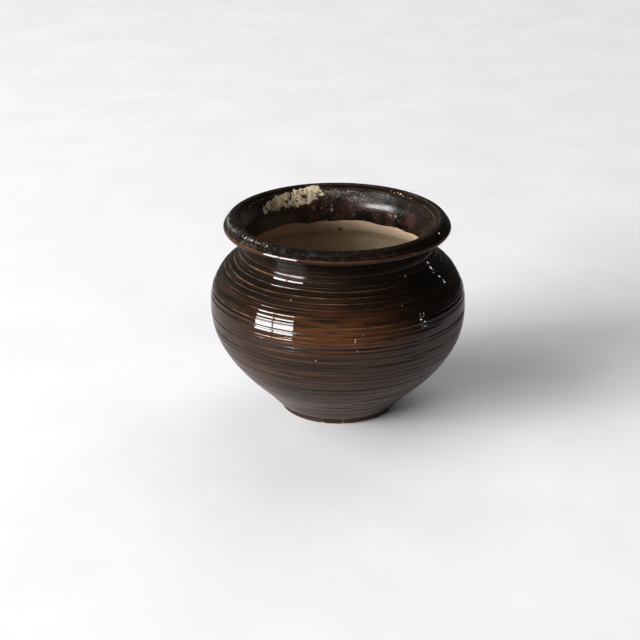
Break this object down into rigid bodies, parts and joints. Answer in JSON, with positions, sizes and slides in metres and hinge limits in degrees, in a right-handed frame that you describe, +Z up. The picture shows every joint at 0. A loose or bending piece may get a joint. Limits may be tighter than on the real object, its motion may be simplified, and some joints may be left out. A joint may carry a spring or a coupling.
{
  "type": "bonsai pot",
  "caption": "Small round glazed stoneware bonsai pot with a ridged belly, narrow neck, flared rim, foot ring and drain hole.",
  "frame": {"origin": "centre of the foot ring's resting face, on the throwing axis", "axes": "+Z up along the throwing axis, from the foot ring to the rim; +X to the right and -Y towards the viewer"},
  "size_m": [0.127, 0.127, 0.101],
  "materials": {
    "clay": "bare fired buff stoneware, matt and slightly grainy",
    "glaze": "gloss dark brown glaze, breaking to amber on the ridges and the rim",
    "tan_crust": "dry tan mineral crust",
    "grey_crust": "thin grey-green mineral crust"
  },
  "bodies": {
    "root": {"clay_body": "clay", "glaze_coat": "glaze", "crust_back_left": "tan_crust", "crust_back": "grey_crust", "crust_rim_left": "grey_crust", "crust_rim_front_left": "tan_crust", "crust_rim_right": "tan_crust"}
  },
  "joints": []
}
